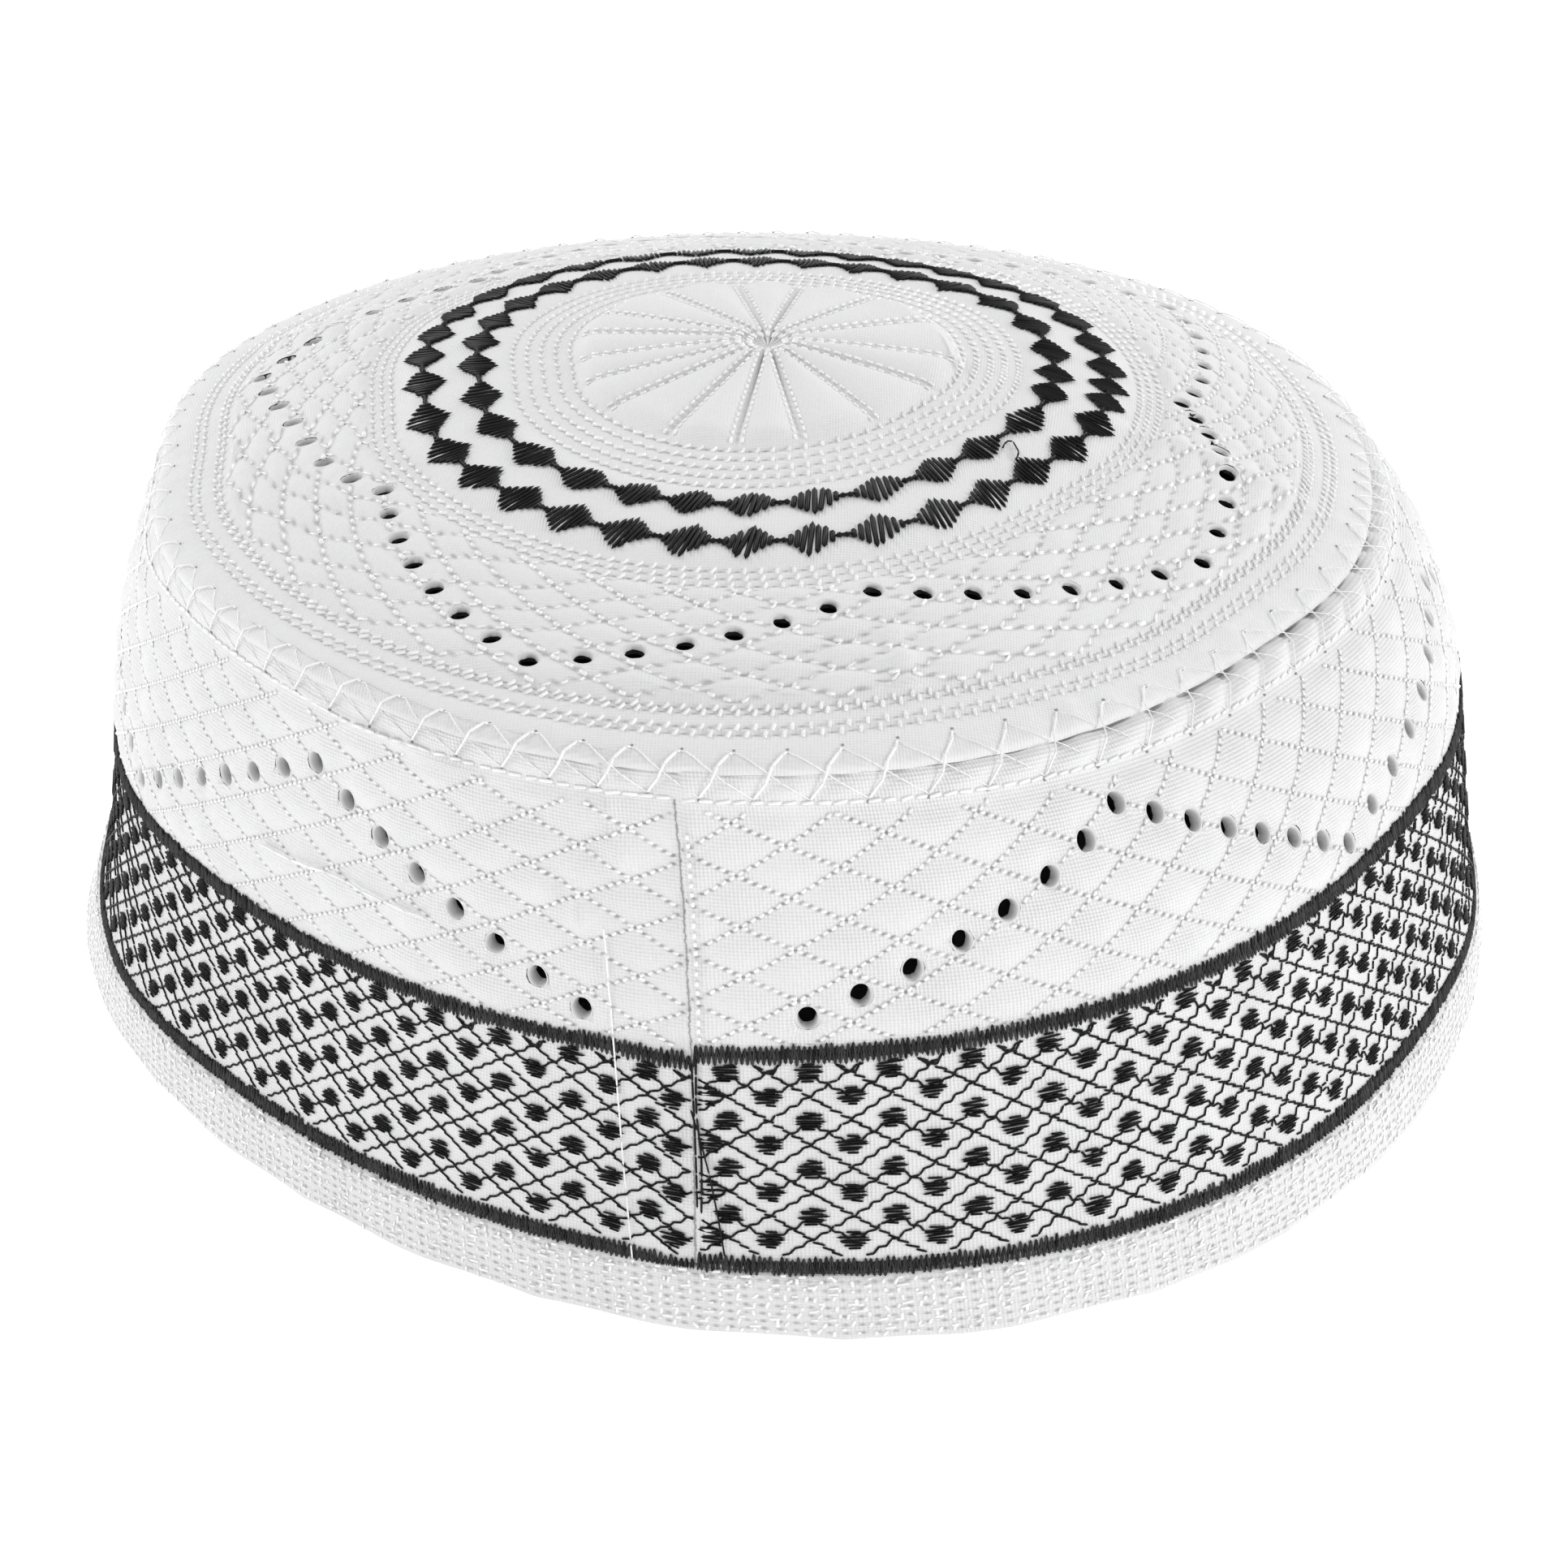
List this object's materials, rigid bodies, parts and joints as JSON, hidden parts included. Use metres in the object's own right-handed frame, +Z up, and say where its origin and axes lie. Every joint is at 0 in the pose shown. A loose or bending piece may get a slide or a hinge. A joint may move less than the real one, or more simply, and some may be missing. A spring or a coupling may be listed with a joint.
{
  "type": "kufi cap",
  "caption": "Round brimless quilted cap with a low domed crown, a straight eyelet side band, satin borders and a stitched hem.",
  "frame": {"origin": "on the resting plane under the middle of the hem's outline", "axes": "+Z up from the hem to the crown, -Y towards the side with the seam that the picture faces, +X to the right in the picture"},
  "size_m": [0.1778, 0.1842, 0.0752],
  "materials": {
    "crown": "white quilted cotton with a satin stitch sheen",
    "side_band": "white quilted cotton with a satin stitch sheen",
    "hem": "white cotton under dense rows of machine stitches",
    "diamond_ring_inner": "black satin stitch",
    "diamond_ring_outer": "black satin stitch",
    "border_lower": "black satin stitch",
    "border_upper": "black satin stitch"
  },
  "bodies": {
    "root": {"crown": "crown", "side_band": "side_band", "hem": "hem", "diamond_ring_inner": "diamond_ring_inner", "diamond_ring_outer": "diamond_ring_outer", "border_lower": "border_lower", "border_upper": "border_upper"}
  },
  "joints": []
}
